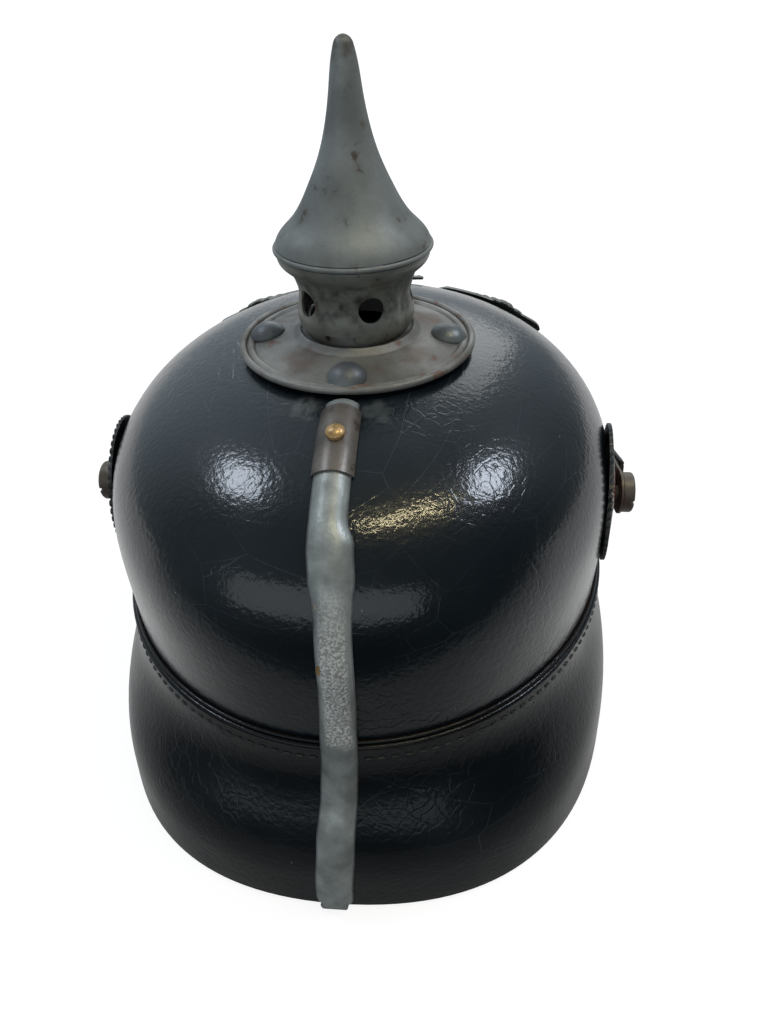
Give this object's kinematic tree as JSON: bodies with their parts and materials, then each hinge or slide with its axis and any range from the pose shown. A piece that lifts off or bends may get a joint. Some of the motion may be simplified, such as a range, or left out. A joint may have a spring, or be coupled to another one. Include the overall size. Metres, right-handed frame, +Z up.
{
  "type": "spiked leather helmet",
  "caption": "Black patent leather spiked helmet with lift-off spike, base plate, rear spine with vent slide, side cockades, spread-eagle plate, chinstrap, visors and liner.",
  "frame": {"origin": "on the spike's axis, at the level that the helmet's lower edges stand on", "axes": "+Z up along the spike, +Y to the rear, +X to the wearer's left"},
  "size_m": [0.2142, 0.2996, 0.2575],
  "materials": {
    "patent_leather": "black patent gloss, finely crazed",
    "grey_steel": "satin grey steel with brown spots",
    "dark_steel": "dark brown-grey tarnish",
    "brass": "dull gold",
    "left_cockade_paint": "black and white rings",
    "right_cockade_paint": "black, white and red rings",
    "strap_leather": "black, worn brown at the edges",
    "liner_leather": "tan, undyed",
    "peg_leather": "brown, raw",
    "linen_cord": "twisted linen"
  },
  "bodies": {
    "helmet": {"skull": "patent_leather", "rear_visor": "patent_leather", "front_visor": "patent_leather", "front_visor_trim": "grey_steel", "base_plate": "grey_steel", "base_studs": "grey_steel", "stud_washers": "grey_steel", "rear_spine": "grey_steel", "spine_pins": "brass", "spine_pin_washers": "grey_steel", "left_cockade": "left_cockade_paint", "right_cockade": "right_cockade_paint", "left_post": "grey_steel", "right_post": "grey_steel", "left_post_nut": "grey_steel", "right_post_nut": "grey_steel", "eagle_plate": "grey_steel", "plate_loops": "grey_steel", "plate_pegs": "peg_leather", "sweatband": "liner_leather", "liner_tongues": "liner_leather", "liner_cord": "linen_cord"},
    "spike_ring": {"spike_rim_ring": "grey_steel"},
    "spike": {"spike_cone": "grey_steel", "spike_neck": "grey_steel"},
    "vent_slide": {"vent_slide": "dark_steel", "vent_knob": "brass"},
    "chinstrap": {"left_strap": "strap_leather", "right_strap": "strap_leather", "left_strap_end": "grey_steel", "right_strap_end": "grey_steel", "strap_rivets": "brass"},
    "left_buckle": {"left_buckle": "grey_steel"},
    "right_buckle": {"right_buckle": "grey_steel"}
  },
  "joints": [
    {"name": "spike_lift", "type": "slide", "parent": "helmet", "child": "spike_ring", "axis": [0, 0, 1], "range_m": [0, 0.045]},
    {"name": "spike_twist", "type": "hinge", "parent": "spike_ring", "child": "spike", "pos_m": [0, 0, 0.1607], "axis": [0, 0, 1], "range_deg": [0, 40]},
    {"name": "vent_slide_travel", "type": "hinge", "parent": "helmet", "child": "vent_slide", "pos_m": [0, 0.02978, 0.03193], "axis": [-1, 0, 0], "range_deg": [0, 5.4]},
    {"name": "strap_swing", "type": "hinge", "parent": "helmet", "child": "chinstrap", "pos_m": [0, 0.011, 0.101], "axis": [-1, 0, 0], "range_deg": [0, 25]},
    {"name": "left_buckle_slide", "type": "hinge", "parent": "chinstrap", "child": "left_buckle", "pos_m": [0, -0.04941, 0.08705], "axis": [0, 0.225, -0.9744], "range_deg": [-6, 6]},
    {"name": "right_buckle_slide", "type": "hinge", "parent": "chinstrap", "child": "right_buckle", "pos_m": [0, -0.04941, 0.08705], "axis": [0, 0.225, -0.9744], "range_deg": [-6, 6]}
  ]
}
